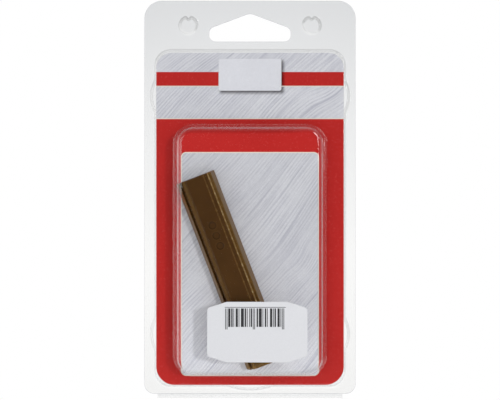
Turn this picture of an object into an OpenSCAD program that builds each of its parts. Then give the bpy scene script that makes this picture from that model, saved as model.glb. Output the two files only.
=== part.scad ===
// Wax stick for furniture repair, in its clear clamshell pack on a hanging hole.
// The pack hangs upright: X is across it, Z is up, and its front faces -Y.
// The origin is where a peg bears, at the top of the hanging hole, between the two flanges.

/* [Sheet] */
// Thickness of the clear sheet that the cover and the back are formed from
sheet_t = 0.4; // [0.3:0.05:0.45]
// Width of the pack across its flanges
pack_w = 84; // [82:1:92]
// Radius of the flanges' top corners
top_corner_r = 7; // [4:0.5:10]
// Radius of the flanges' corners beside the hinge
foot_corner_r = 4; // [2:0.5:6]

/* [Hinge] */
// Length of the hinge bead along the foot of the pack
hinge_w = 73.6; // [60:0.8:76]
// Outer radius of the hinge bead
bead_r = 0.8; // [0.7:0.05:0.9]
// Running gap between the bead and the cover's flange
bead_gap = 0.15; // [0.1:0.05:0.25]

/* [Card] */
// Width of the printed card
card_w = 74.2; // [70:0.2:75]
// Height of the printed card
card_h = 131.4; // [126:0.2:134]
// Thickness of the printed card
card_t = 0.4; // [0.3:0.05:0.6]
// Corner radius of the printed card
card_corner_r = 6; // [3:0.5:8]
// Gap round the sides and the foot of the card
card_gap = 0.3; // [0.2:0.05:0.5]
// Room that the card's recess has over the card's top edge
card_headroom = 1.1; // [0.5:0.1:2]

/* [Card panel] */
// How far the panel over the card stands out of the cover's flange plane
panel_rise = 3; // [2.4:0.1:4]
// Draft of the panel's walls, in degrees
panel_draft = 8; // [4:1:12]
// Radius of the rounded edge round the panel's face
panel_edge_r = 1; // [0.9:0.1:1.4]
// Height of the panel's lower edge over the foot of the pack
panel_foot = 4.6; // [4.3:0.1:6]
// Gap between the nested walls of the cover and the back
nest_gap = 0.25; // [0.15:0.05:0.35]

/* [Locking ears] */
// Length of each side ear along the panel's edge
ear_len = 13; // [10:0.5:18]
// How far each ear bulges out of the panel's edge
ear_bulge = 1.7; // [1.2:0.1:2]
// Height of the lower pair of ears over the panel's lower edge
ear_up = 20.9; // [16:0.1:40]
// Distance of the upper pair of ears below the panel's upper edge
ear_drop = 18.8; // [16:0.1:40]
// Length of the ear in the middle of the panel's lower edge
foot_ear_len = 17.5; // [12:0.5:24]
// How far that ear bulges towards the hinge
foot_ear_bulge = 1.5; // [0.8:0.1:1.6]

/* [Blister dome] */
// Width of the dome where it leaves the panel
dome_w = 60; // [58:0.5:64]
// Height of the dome where it leaves the panel
dome_h = 98.8; // [96:0.2:106]
// Depth of the dome in front of the panel
dome_depth = 12; // [11.5:0.5:16]
// Radius of the dome's corners where it leaves the panel
dome_corner_r = 8; // [7:0.5:10]
// Radius of the rounded edge round the dome's front face
dome_edge_r = 2.5; // [1.5:0.25:3]
// Draft of the dome's walls, in degrees
dome_draft = 10; // [6:1:12]
// Height of the dome's lower edge over the panel's lower edge
dome_up = 5.2; // [4.8:0.2:8]

/* [Press studs] */
// Radius of each stud's cap at the flange
stud_r = 4; // [3:0.25:4.5]
// How far each cap stands out of the flange
stud_rise = 1.8; // [1.2:0.1:2.4]
// Draft of the cap's wall, in degrees
stud_draft = 12; // [6:1:16]
// Distance of each stud from the pack's middle
stud_x = 24.5; // [23:0.5:30]
// Distance of each stud below the pack's top edge
stud_drop = 9.8; // [8:0.2:10.4]
// Width of the V notch in the cap's upper rim
notch_w = 3.4; // [2:0.2:4]
// Depth of the V notch
notch_depth = 1.2; // [0.6:0.1:1.5]

/* [Hanging hole] */
// Width of the roof-shaped hanging hole
hole_w = 32.4; // [28:0.4:34]
// Height of the hole, from its flat edge to its ridge
hole_h = 11; // [10:0.5:12]
// Distance of the hole's ridge below the pack's top edge
hole_drop = 5.2; // [4.4:0.2:6]
// Distance of the hole's flat edge above the card panel
hole_up = 2.9; // [1.5:0.1:6]
// Radius of the hole's outer corners
hole_end_r = 2.5; // [1.5:0.25:3]
// Radius of the hole's ridge
hole_ridge_r = 4.5; // [3:0.5:6]
// Height of the straight part at each end of the hole
hole_end_h = 1; // [0.5:0.25:2]

/* [Wax stick] */
// Length of the stick
stick_len = 78.6; // [70:0.2:82]
// Width of the stick across its foot
stick_w = 16.2; // [12:0.2:18]
// Thickness of the stick
stick_h = 9.5; // [7:0.5:10]
// Lean of the stick from upright, in degrees
stick_lean = 21; // [14:1:24]
// Set-back of the stick's ends from foot to face
stick_end_draft = 0.6; // [0.2:0.1:1]
// Gap between the stick and the side wall it leans on
stick_side_gap = 0.3; // [0.2:0.05:0.6]
// Gap between the stick and the lower wall
stick_foot_gap = 1.45; // [1.3:0.05:3]
// Gap between the stick and the card
stick_lift = 0.3; // [0.2:0.05:0.5]
// Radius of each of the three dimples in the stick's face
mark_r = 1.5; // [1:0.1:2]
// Distance from dimple to dimple
mark_pitch = 4.2; // [3.2:0.2:5]
// Depth of the dimples
mark_depth = 0.3; // [0.1:0.05:0.5]
// Distance of the middle dimple from the stick's upper end
mark_from_end = 24.5; // [16:0.5:40]

/* [Label] */
// Width of the price label
label_w = 38.4; // [30:0.4:44]
// Height of the price label
label_h = 23.2; // [16:0.4:26]
// Thickness of the label
label_t = 0.15; // [0.1:0.05:0.2]
// Length of the straight middle of its upper and lower edges
label_flat_w = 23.4; // [14:0.4:26]
// How far the label's corners are cut back from those edges
label_cut = 2; // [1:0.25:3]
// Radius of the label's corners
label_corner_r = 1.4; // [0.8:0.1:2]
// Distance of the label to the right of the pack's middle
label_x = 2.8; // [0:0.2:4]
// Height of the label's middle over the dome's lower edge
label_up = 18.4; // [17.4:0.2:40]

/* [Hidden] */

// Overrun of every cut past the face it opens
over = 0.1;
$fn = 64;
edge_steps = 5;
// Least radius that is left on an inner edge
edge_least = 0.1;
clear_color = [0.80, 0.84, 0.86, 0.35];
red_color = [0.69, 0.16, 0.14];
wax_color = [0.29, 0.19, 0.10];
label_color = [0.90, 0.90, 0.92];

// The pack is drawn lying on its back: x is across, y is up the pack from its foot, z is out of its front.
// z = 0 is the parting plane, where the flange of the cover meets the flange of the back.

// Hinge axis, and the flanges' lower edge above it
hinge_y = bead_r;
flange_y = hinge_y + bead_r + bead_gap;
bead_bore_r = bead_r - sheet_t / 2;

// Levels of the card and of the plug on the back shell that carries it
card_front_gap = 0.1;
panel_inside = panel_rise - sheet_t;
card_front = panel_inside - card_front_gap;
plug_rise = card_front - card_t;

// The cover's panel at the parting plane, sized from the card that lies in it
panel_wall = sheet_t / cos(panel_draft);
panel_spread = card_front * tan(panel_draft);
panel_half_w = card_w / 2 + card_gap + panel_spread + panel_wall;
panel_height = card_h + card_gap + card_headroom + 2 * (panel_spread + panel_wall);
panel_y = panel_foot + panel_height / 2;
panel_corner_r = card_corner_r + card_gap + panel_wall;
card_y = panel_foot + panel_wall + panel_spread + card_gap + card_h / 2;

dome_foot = panel_foot + dome_up;
dome_y = dome_foot + dome_h / 2;
dome_wall = sheet_t / cos(dome_draft);
dome_face = panel_rise + dome_depth;

// The hanging hole stands over the panel, and the pack ends above it
hole_foot_y = panel_foot + panel_height + hole_up;
hole_ridge_y = hole_foot_y + hole_h;
pack_h = hole_ridge_y + hole_drop;

// The cap on the cover, and the stud on the back that nests in it
stud_y = pack_h - stud_drop;
stud_wall = sheet_t / cos(stud_draft);
stud_inset = stud_wall + nest_gap;
cap_face = sheet_t + stud_rise;

// The stick leans on the dome's left wall, a little above the lower wall
stick_back = card_front + stick_lift;
stick_depth = panel_rise - stick_back;
stick_wall_x = dome_w / 2 - dome_wall + stick_depth * tan(dome_draft);
stick_wall_y = dome_foot + dome_wall - stick_depth * tan(dome_draft);
stick_x = stick_side_gap - stick_wall_x + (stick_len * sin(stick_lean) + stick_w * cos(stick_lean)) / 2;
stick_y = stick_wall_y + stick_foot_gap + (stick_len * cos(stick_lean) + stick_w * sin(stick_lean)) / 2;

// Half of the stick's cross-section, from the foot to the face, as shares of half its width and of its
// thickness: drafted flank, ledge, riser, shelf and raised face
section_shares = [
    [0.96, 0.00], [1.00, 0.04], [0.82, 0.66], [0.79, 0.70], [0.74, 0.72], [0.70, 0.87],
    [0.67, 0.90], [0.57, 0.93], [0.53, 0.985], [0.50, 1.00]
];

// Rim of a drafted form, as [inward shift, height] from its foot to its face. The foot starts below zero
// by the depth under, and the edge radius rounds the way onto the face.
function rim(rise, draft, edge, under) =
    let (arc_z = rise - edge, arc_x = -arc_z * tan(draft) - edge / cos(draft))
    concat(
        [[under * tan(draft), -under]],
        [for (i = [0 : edge_steps])
            let (a = draft + (90 - draft) * i / edge_steps)
            [arc_x + edge * cos(a), arc_z + edge * sin(a)]]
    );

// The same rim with a sharp upper edge
function sharp_rim(rise, draft, under) = [[under * tan(draft), -under], [-rise * tan(draft), rise]];

// Radius of an edge on the inner side of the sheet
function inner_edge(edge) = max(edge - sheet_t, edge_least);

function shifted(points, along) = [for (p = points) [p[0] + along, p[1]]];
function mirrored(points) = [for (i = [len(points) - 1 : -1 : 0]) [-points[i][0], points[i][1]]];

// Rounded rectangle with drafted walls that follow the rim
module drafted_form(half_w, half_h, corner_r, rim_points) {
    along_x = shifted(rim_points, half_w);
    along_y = shifted(rim_points, half_h);
    round_it = shifted(rim_points, corner_r);
    foot_z = rim_points[0][1];
    face_z = rim_points[len(rim_points) - 1][1];
    rotate([90, 0, 0])
        linear_extrude(2 * (half_h - corner_r), center = true)
            polygon(concat(along_x, mirrored(along_x)));
    rotate([90, 0, 90])
        linear_extrude(2 * (half_w - corner_r), center = true)
            polygon(concat(along_y, mirrored(along_y)));
    for (sx = [-1, 1], sy = [-1, 1])
        translate([sx * (half_w - corner_r), sy * (half_h - corner_r), 0])
            rotate_extrude()
                polygon(concat([[0, foot_z]], round_it, [[0, face_z]]));
}

// Circular bulge with drafted walls, whose far side is hidden in the form it grows from
module ear(length, bulge, inset, rim_points) {
    r = (length * length / 4 + bulge * bulge) / (2 * bulge);
    foot_z = rim_points[0][1];
    face_z = rim_points[len(rim_points) - 1][1];
    translate([r - bulge, 0, 0])
        rotate_extrude()
            polygon(concat([[0, foot_z]], shifted(rim_points, r - inset), [[0, face_z]]));
}

// The raised panel with its five ears, drawn in from its outer skin by inset
module panel_form(inset, rise, edge, under) {
    rim_points = rim(rise, panel_draft, edge, under);
    translate([0, panel_y, 0])
        drafted_form(panel_half_w - inset, panel_height / 2 - inset, panel_corner_r - inset, rim_points);
    for (sx = [0, 1], y = [panel_foot + ear_up, panel_foot + panel_height - ear_drop])
        mirror([sx, 0, 0])
            translate([-panel_half_w, y, 0])
                ear(ear_len, ear_bulge, inset, rim_points);
    translate([0, panel_foot, 0])
        rotate([0, 0, 90])
            ear(foot_ear_len, foot_ear_bulge, inset, rim_points);
}

// The dome, drawn in from its outer skin by inset
module dome_form(inset, depth, edge, under) {
    translate([0, dome_y, panel_rise])
        drafted_form(
            dome_w / 2 - inset, dome_h / 2 - inset, dome_corner_r - inset,
            rim(depth, dome_draft, edge, under)
        );
}

// One press-stud form at each side, drawn in from its outer skin by inset, with a V notch in its upper rim
module stud_forms(inset, low, high) {
    for (sx = [-1, 1])
        translate([sx * stud_x, stud_y, 0])
            difference() {
                translate([0, 0, low])
                    cylinder(
                        h = high - low,
                        r1 = stud_r - inset + (sheet_t - low) * tan(stud_draft),
                        r2 = stud_r - inset + (sheet_t - high) * tan(stud_draft)
                    );
                translate([0, stud_r - notch_depth - inset, low - over])
                    linear_extrude(high - low + 2 * over)
                        polygon([[0, 0], [notch_w, stud_r], [-notch_w, stud_r]]);
            }
}

// Outline of both flanges
module flange_outline() {
    half = pack_w / 2;
    translate([-half + foot_corner_r, flange_y])
        square([pack_w - 2 * foot_corner_r, foot_corner_r]);
    translate([-half, flange_y + foot_corner_r])
        square([pack_w, pack_h - top_corner_r - flange_y - foot_corner_r]);
    translate([-half + top_corner_r, pack_h - top_corner_r])
        square([pack_w - 2 * top_corner_r, top_corner_r]);
    for (s = [-1, 1]) {
        translate([s * (half - foot_corner_r), flange_y + foot_corner_r])
            circle(foot_corner_r);
        translate([s * (half - top_corner_r), pack_h - top_corner_r])
            circle(top_corner_r);
    }
}

// Roof-shaped hanging hole, from below the back's flange to above the cover's
module hanging_hole() {
    end_x = hole_w / 2 - hole_end_r;
    translate([0, 0, -sheet_t - over])
        linear_extrude(2 * (sheet_t + over))
            hull() {
                for (s = [-1, 1], lift = [0, hole_end_h])
                    translate([s * end_x, hole_foot_y + hole_end_r + lift])
                        circle(hole_end_r, $fn = 32);
                translate([0, hole_ridge_y - hole_ridge_r])
                    circle(hole_ridge_r, $fn = 32);
            }
}

// Stands the lying pack upright, with the peg's seat at the origin
module upright() {
    translate([0, 0, -hole_ridge_y])
        rotate([90, 0, 0])
            children();
}

// Clear cover: flange, raised card panel, blister dome and the two caps
module cover_blister() {
    color(clear_color)
        upright()
            difference() {
                union() {
                    linear_extrude(sheet_t) flange_outline();
                    panel_form(0, panel_rise, panel_edge_r, 0);
                    dome_form(0, dome_depth, dome_edge_r, sheet_t / 2);
                    stud_forms(0, sheet_t / 2, cap_face);
                }
                panel_form(panel_wall, panel_inside, inner_edge(panel_edge_r), over);
                dome_form(dome_wall, dome_depth - sheet_t, inner_edge(dome_edge_r), sheet_t + over);
                stud_forms(stud_wall, -over, cap_face - sheet_t);
                hanging_hole();
            }
}

// Clear back: flange, plug that carries the card, and the two studs
module back_shell() {
    plug_inset = panel_wall + nest_gap;
    plug_edge_r = inner_edge(panel_edge_r);
    color(clear_color)
        upright()
            difference() {
                union() {
                    translate([0, 0, -sheet_t])
                        linear_extrude(sheet_t) flange_outline();
                    panel_form(plug_inset, plug_rise, plug_edge_r, sheet_t / 2);
                    stud_forms(stud_inset, -sheet_t / 2, cap_face - sheet_t - nest_gap);
                }
                panel_form(
                    plug_inset + panel_wall, plug_rise - sheet_t, inner_edge(plug_edge_r), sheet_t + over
                );
                stud_forms(stud_inset + stud_wall, -sheet_t - over, cap_face - 2 * sheet_t - nest_gap);
                hanging_hole();
            }
}

// Rolled bead of the living hinge, with the web that runs up to the back's flange
module living_hinge() {
    color(clear_color)
        upright()
            translate([0, hinge_y, 0])
                difference() {
                    union() {
                        rotate([0, 90, 0])
                            cylinder(h = hinge_w, r = bead_r, center = true);
                        translate([-hinge_w / 2, 0, -sheet_t])
                            cube([hinge_w, flange_y - hinge_y, sheet_t]);
                    }
                    rotate([0, 90, 0])
                        cylinder(h = hinge_w + 2 * over, r = bead_bore_r, center = true);
                }
}

// Printed card between the cover's panel and the back's plug
module insert_card() {
    color(red_color)
        upright()
            translate([0, card_y, plug_rise])
                drafted_form(card_w / 2, card_h / 2, card_corner_r, sharp_rim(card_t, 0, 0));
}

// Moulded bar of wax, its back flat to the card
module wax_stick() {
    half = [for (p = section_shares) [p[0] * stick_w / 2, p[1] * stick_h]];
    half_len = stick_len / 2;
    color(wax_color)
        upright()
            translate([stick_x, stick_y, stick_back])
                rotate([0, 0, stick_lean])
                    difference() {
                        intersection() {
                            rotate([90, 0, 0])
                                linear_extrude(stick_len, center = true)
                                    polygon(concat(half, mirrored(half)));
                            rotate([90, 0, 90])
                                linear_extrude(stick_w, center = true)
                                    polygon([
                                        [-half_len, 0], [half_len, 0],
                                        [half_len - stick_end_draft, stick_h],
                                        [stick_end_draft - half_len, stick_h]
                                    ]);
                        }
                        for (i = [-1 : 1])
                            translate([0, half_len - mark_from_end + i * mark_pitch, stick_h - mark_depth])
                                cylinder(h = mark_depth + over, r = mark_r);
                    }
}

// Paper price label on the dome's face
module price_label() {
    corner_x = label_w / 2 - label_corner_r;
    corner_y = label_h / 2 - label_cut - label_corner_r;
    color(label_color)
        upright()
            translate([label_x, dome_foot + label_up, dome_face])
                linear_extrude(label_t)
                    hull() {
                        square([label_flat_w, label_h], center = true);
                        for (sx = [-1, 1], sy = [-1, 1])
                            translate([sx * corner_x, sy * corner_y])
                                circle(label_corner_r, $fn = 32);
                    }
}

cover_blister();
back_shell();
living_hinge();
insert_card();
wax_stick();
price_label();
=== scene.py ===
"""Looks of a furniture repair wax stick in its clear clamshell pack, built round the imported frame."""

import math

import bpy
import numpy as np
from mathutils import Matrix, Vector, noise
from mathutils.geometry import delaunay_2d_cdt

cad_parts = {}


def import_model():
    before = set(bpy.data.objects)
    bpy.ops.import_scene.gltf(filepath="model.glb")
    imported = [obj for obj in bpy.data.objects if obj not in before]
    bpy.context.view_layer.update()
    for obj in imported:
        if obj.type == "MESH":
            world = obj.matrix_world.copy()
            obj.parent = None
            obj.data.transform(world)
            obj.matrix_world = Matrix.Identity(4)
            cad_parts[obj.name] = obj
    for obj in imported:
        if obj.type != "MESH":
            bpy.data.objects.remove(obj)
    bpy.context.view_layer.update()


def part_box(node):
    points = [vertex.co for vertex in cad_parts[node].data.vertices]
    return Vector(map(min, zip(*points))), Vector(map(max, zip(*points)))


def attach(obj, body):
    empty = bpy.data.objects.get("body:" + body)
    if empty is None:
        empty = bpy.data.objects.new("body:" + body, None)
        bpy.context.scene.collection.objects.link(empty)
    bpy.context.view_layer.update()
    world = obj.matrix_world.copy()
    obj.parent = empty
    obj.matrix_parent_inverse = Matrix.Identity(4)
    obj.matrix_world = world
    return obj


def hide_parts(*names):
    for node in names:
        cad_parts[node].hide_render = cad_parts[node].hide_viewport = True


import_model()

MM = 0.001

# Sizes in millimetres, the same as in the part's source. Outlines are drawn on the pack as it lies on
# its back: x across, y up from its foot, and heights out of its front, with 0 where the flanges meet.
SHEET = 0.4
PACK_W = 84.0
TOP_CORNER_R = 7.0
FOOT_CORNER_R = 4.0
HINGE_W = 73.6
BEAD_R = 0.8
BEAD_GAP = 0.15
PANEL_RISE = 3.0
PANEL_DRAFT = 8.0
PANEL_EDGE_R = 1.0
PANEL_FOOT = 4.6
PANEL_HALF_W = 38.155
PANEL_H = 134.31
PANEL_CORNER_R = 6.70
NEST_GAP = 0.25
EAR_L = 13.0
EAR_BULGE = 1.7
EAR_UP = 20.9
EAR_DROP = 18.8
FOOT_EAR_L = 17.5
FOOT_EAR_BULGE = 1.5
DOME_W = 60.0
DOME_H = 98.8
DOME_DEPTH = 12.0
DOME_CORNER_R = 8.0
DOME_EDGE_R = 2.5
DOME_DRAFT = 10.0
DOME_UP = 5.2
STUD_R = 4.0
STUD_RISE = 1.8
STUD_DRAFT = 12.0
STUD_X = 24.5
STUD_DROP = 9.8
NOTCH_W = 3.4
NOTCH_DEPTH = 1.2
HOLE_W = 32.4
HOLE_H = 11.0
HOLE_DROP = 5.2
HOLE_UP = 2.9
HOLE_END_R = 2.5
HOLE_RIDGE_R = 4.5
HOLE_END_H = 1.0
STICK_L = 78.6
STICK_W = 16.2
STICK_H = 9.5
STICK_LEAN = 21.0
STICK_END_DRAFT = 0.6
MARK_R = 1.5
MARK_PITCH = 4.2
MARK_DEPTH = 0.3
MARK_FROM_END = 24.5
LABEL_FLAT_W = 23.4
LABEL_CUT = 2.0
LABEL_CORNER_R = 1.4

FLANGE_Y = 2 * BEAD_R + BEAD_GAP
PANEL_WALL = SHEET / math.cos(math.radians(PANEL_DRAFT))
STUD_WALL = SHEET / math.cos(math.radians(STUD_DRAFT))
PANEL_TOP = PANEL_FOOT + PANEL_H
DOME_FOOT = PANEL_FOOT + DOME_UP
HOLE_FOOT = PANEL_TOP + HOLE_UP
RIDGE = HOLE_FOOT + HOLE_H
PACK_H = RIDGE + HOLE_DROP
STUD_Y = PACK_H - STUD_DROP


# Outlines


def arc(cx, cy, r, start, end, steps):
    """Points on an arc, with its angles in degrees."""
    return [
        (cx + r * math.cos(a), cy + r * math.sin(a))
        for a in np.radians(np.linspace(start, end, steps + 1))
    ]


def dense(points, step):
    """The closed outline with its long edges split."""
    out = []
    for i, p in enumerate(points):
        q = points[(i + 1) % len(points)]
        n = max(1, math.ceil(math.dist(p, q) / step))
        out += [(p[0] + (q[0] - p[0]) * k / n, p[1] + (q[1] - p[1]) * k / n) for k in range(n)]
    return out


def tidy(points):
    """The closed outline without points that fall together."""
    out = []
    for p in points:
        if not out or math.dist(p, out[-1]) > 1e-5:
            out.append(p)
    if math.dist(out[0], out[-1]) < 1e-5:
        out.pop()
    return out


def normals(points):
    """Outward normals of a counter-clockwise outline, ruled by the longer of the edges that meet."""
    p = np.array(points, float)
    ahead = np.roll(p, -1, 0) - p
    side = np.stack([ahead[:, 1], -ahead[:, 0]], 1)
    n = side + np.roll(side, 1, 0)
    return n / np.linalg.norm(n, axis=1)[:, None]


def moved_in(points, inset):
    return np.array(points, float) - normals(points) * inset


def rounded_box(x0, x1, y0, y1, r, steps=20):
    """Counter-clockwise rounded rectangle. r is one radius, or those of the foot and of the top."""
    foot, top = r if isinstance(r, tuple) else (r, r)
    return tidy(
        arc(x0 + foot, y0 + foot, foot, 180, 270, steps)
        + arc(x1 - foot, y0 + foot, foot, 270, 360, steps)
        + arc(x1 - top, y1 - top, top, 0, 90, steps)
        + arc(x0 + top, y1 - top, top, 90, 180, steps)
    )


def ear(length, bulge, blend=3.0):
    """An ear as (along, out) points, with a soft bend where it leaves the straight wall."""
    r = (length * length / 4 + bulge * bulge) / (2 * bulge)
    reach = math.sqrt((r + blend) ** 2 - (r - bulge + blend) ** 2)
    a = math.degrees(math.atan2(bulge - r - blend, reach))
    return (
        arc(-reach, blend, blend, -90, a, 5)
        + arc(0, bulge - r, r, a + 180, -a, 14)
        + arc(reach, blend, blend, 180 - a, 270, 5)
    )


def panel_outline():
    w, y0, y1, r = PANEL_HALF_W, PANEL_FOOT, PANEL_TOP, PANEL_CORNER_R
    side = ear(EAR_L, EAR_BULGE)
    low, high = PANEL_FOOT + EAR_UP, PANEL_TOP - EAR_DROP
    points = [(t, y0 - out) for t, out in ear(FOOT_EAR_L, FOOT_EAR_BULGE)]
    points += arc(w - r, y0 + r, r, -90, 0, 20)
    points += [(w + out, y + t) for y in (low, high) for t, out in side]
    points += arc(w - r, y1 - r, r, 0, 90, 20) + arc(r - w, y1 - r, r, 90, 180, 20)
    points += [(-w - out, y - t) for y in (high, low) for t, out in side]
    points += arc(r - w, y0 + r, r, 180, 270, 20)
    return dense(tidy(points), 4.0)


def dome_outline():
    return dense(
        rounded_box(-DOME_W / 2, DOME_W / 2, DOME_FOOT, DOME_FOOT + DOME_H, DOME_CORNER_R, 22), 4.0
    )


def flange_outline():
    half = PACK_W / 2
    return dense(
        rounded_box(-half, half, FLANGE_Y, PACK_H, (FOOT_CORNER_R, TOP_CORNER_R), 18), 4.0
    )


def hole_outline():
    """Roof-shaped hanging hole."""
    cx, cy = HOLE_W / 2 - HOLE_END_R, HOLE_FOOT + HOLE_END_R + HOLE_END_H
    top_y = RIDGE - HOLE_RIDGE_R
    lean = math.degrees(
        math.atan2(top_y - cy, -cx)
        - math.acos((HOLE_END_R - HOLE_RIDGE_R) / math.hypot(cx, top_y - cy))
    )
    foot_y = HOLE_FOOT + HOLE_END_R
    return dense(tidy(
        arc(-cx, foot_y, HOLE_END_R, 180, 270, 10)
        + arc(cx, foot_y, HOLE_END_R, 270, 360, 10)
        + arc(cx, cy, HOLE_END_R, 0, lean, 8)
        + arc(0, top_y, HOLE_RIDGE_R, lean, 180 - lean, 8)
        + arc(-cx, cy, HOLE_END_R, 180 - lean, 180, 8)
    ), 3.0)


def stud_outline(side, r):
    """Circle with a V notch in its upper rim, its corners eased."""
    apex = r - NOTCH_DEPTH
    a, b, c = NOTCH_W ** 2 + r * r, 2 * apex * r, apex ** 2 - r * r
    s = (-b + math.sqrt(b * b - 4 * a * c)) / (2 * a)
    rim_x, rim_y = s * NOTCH_W, apex + s * r
    at = math.degrees(math.atan2(rim_y, rim_x))
    fine = arc(0, 0, r, 180 - at, 360 + at, 110)
    fine += [(rim_x * (1 - k / 8), rim_y + (apex - rim_y) * k / 8) for k in range(1, 8)]
    fine += [(-rim_x * k / 8, apex + (rim_y - apex) * k / 8) for k in range(8)]
    fine = np.array(fine)
    for _ in range(4):
        fine = (np.roll(fine, 1, 0) + 2 * fine + np.roll(fine, -1, 0)) / 4
    return fine + (side * STUD_X, STUD_Y)


# Profiles of the formed sheet, as (inset, height) from the outline


def eased(corners, radii, steps=6):
    """Open line through corners, each inner one rounded, and the unit normal at each point."""
    line = [corners[0]]
    for i, r in enumerate(radii, 1):
        a, b, c = (np.array(corners[j], float) for j in (i - 1, i, i + 1))
        u, v = (a - b) / np.linalg.norm(a - b), (c - b) / np.linalg.norm(c - b)
        half = math.acos(float(np.clip(u @ v, -1, 1))) / 2
        centre = b + (u + v) / np.linalg.norm(u + v) * r / math.sin(half)
        p, q = b + u * r / math.tan(half), b + v * r / math.tan(half)
        ap, aq = (math.atan2(*(k - centre)[::-1]) for k in (p, q))
        turn = (aq - ap + math.pi) % (2 * math.pi) - math.pi
        line += [
            tuple(centre + r * np.array([math.cos(ap + turn * k / steps), math.sin(ap + turn * k / steps)]))
            for k in range(steps + 1)
        ]
    line.append(corners[-1])
    p = np.array(line, float)
    d = np.diff(p, axis=0)
    side = np.stack([-d[:, 1], d[:, 0]], 1)
    n = np.vstack([side[:1], side[:-1] + side[1:], side[-1:]])
    return p, n / np.linalg.norm(n, axis=1)[:, None]


def wall_profile(foot, top, skin, skin_at, draft, cove_r, edge_r, run_in=0.5, run_out=0.5):
    """Middle line of the sheet from a flat at height foot up a drafted wall to a flat at height top.
    skin is the inset of the wall's outer skin at height skin_at. cove_r and edge_r are the radii of its
    lower and upper bend, and run_in and run_out are how much of each flat it takes in."""
    slope = math.tan(math.radians(draft))
    mid = skin + SHEET / 2 / math.cos(math.radians(draft))
    low, high = mid + (foot - skin_at) * slope, mid + (top - skin_at) * slope
    turn = math.tan(math.radians(90 - draft) / 2)
    corners = [
        (low - cove_r * turn - run_in, foot), (low, foot), (high, top),
        (high + edge_r * turn + run_out, top),
    ]
    return eased(corners, [cove_r, edge_r])


# Meshes


class Mesh:
    """Collects points in millimetres on the lying pack, and faces seen from the front."""

    def __init__(self):
        self.points, self.faces, self.zones = [], [], []

    def ring(self, points, height):
        start = len(self.points)
        self.points += [(x, y, height) for x, y in points]
        return list(range(start, len(self.points)))

    def add(self, face, front=True, zone=0):
        self.faces.append(tuple(face) if front else tuple(reversed(face)))
        self.zones.append(zone)

    def strip(self, a, b, front=True, zone=0):
        """Faces between ring a and the next ring b, further in."""
        for i in range(len(a)):
            j = (i + 1) % len(a)
            self.add((a[i], a[j], b[j], b[i]), front, zone)

    def flat(self, rings, front=True, zone=0, pick=None, extra=()):
        """Triangles between rings that lie at one height. The first is the outline and the others are
        holes, unless pick gives the zone of a triangle from its middle."""
        index = [i for r in rings for i in r]
        at = {v: k for k, v in enumerate(index)}
        flat = [Vector(self.points[i][:2]) for i in index]
        edges = [(at[r[k]], at[r[(k + 1) % len(r)]]) for r in rings for k in range(len(r))]
        edges += [(at[a], at[b]) for a, b in extra]
        verts, _, faces, origin, _, _ = delaunay_2d_cdt(flat, edges, [], 0, 1e-5)
        loops = [np.array([self.points[i][:2] for i in r]) for r in rings]
        for f in faces:
            mid = sum((verts[k] for k in f), Vector((0, 0))) / len(f)
            ins = [inside(mid, loop) for loop in loops]
            if not ins[0] or (pick is None and any(ins[1:])):
                continue
            self.add([index[origin[k][0]] for k in f], front, pick(mid) if pick else zone)

    def piece(self, name, materials, body, slot, node, sharp=50.0):
        data = bpy.data.meshes.new(name)
        p = np.array(self.points)
        placed = np.stack([p[:, 0], -p[:, 2], p[:, 1] - RIDGE], 1) * MM
        data.from_pydata(placed.tolist(), [], self.faces)
        for m in materials:
            data.materials.append(m)
        data.polygons.foreach_set("material_index", self.zones)
        data.polygons.foreach_set("use_smooth", [True] * len(data.polygons))
        data.validate()
        data.set_sharp_from_angle(angle=math.radians(sharp))
        return dressed(bpy.data.objects.new(name, data), body, node)


def inside(p, loop):
    """True if the point is inside the closed outline."""
    x0, y0 = loop[:, 0], loop[:, 1]
    x1, y1 = np.roll(x0, -1), np.roll(y0, -1)
    crosses = (y0 > p[1]) != (y1 > p[1])
    with np.errstate(divide="ignore", invalid="ignore"):
        at = x0 + (p[1] - y0) / (y1 - y0) * (x1 - x0)
    return bool(np.count_nonzero(crosses & (at > p[0])) % 2)


def dressed(obj, body, node):
    """Puts the piece in the scene, on its body, in the place of its CAD node."""
    bpy.context.scene.collection.objects.link(obj)
    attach(obj, body)
    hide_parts(node)
    return obj


# Zones of the film, each with its own material
FLAT, CUT, BEND, LOW, STUD = range(5)


def form(mesh, outline, profile, bend, wall):
    """Both skins of a formed wall round the outline, which outline gives for any inset. bend and wall are
    the zones of its rounded bends and of the straight wall between them. Returns the outer and inner rings
    of each skin."""
    middle, side = profile
    skins = []
    for front in (True, False):
        half = SHEET / 2 if front else -SHEET / 2
        rings = [
            mesh.ring(outline(p[0] + n[0] * half), p[1] + n[1] * half)
            for p, n in zip(middle, side, strict=True)
        ]
        last = len(rings) - 2
        for k, (a, b) in enumerate(zip(rings, rings[1:], strict=False)):
            mesh.strip(a, b, front, FLAT if k in (0, last) else wall if k == last // 2 else bend)
        skins.append((rings[0], rings[-1]))
    return skins


def cut_edge(mesh, outline, low, high, hole=False, ease=0.05):
    """Die-cut edge of the sheet with its arrises eased. Returns its rings on the front and back skin."""
    s = -1 if hole else 1
    rings = [
        mesh.ring(moved_in(outline, s * inset), height)
        for inset, height in ((ease, high), (0, high - ease), (0, low + ease), (ease, low))
    ]
    for a, b in zip(rings, rings[1:], strict=False):
        mesh.strip(a, b, hole, CUT)
    return rings[0], rings[-1]


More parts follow.
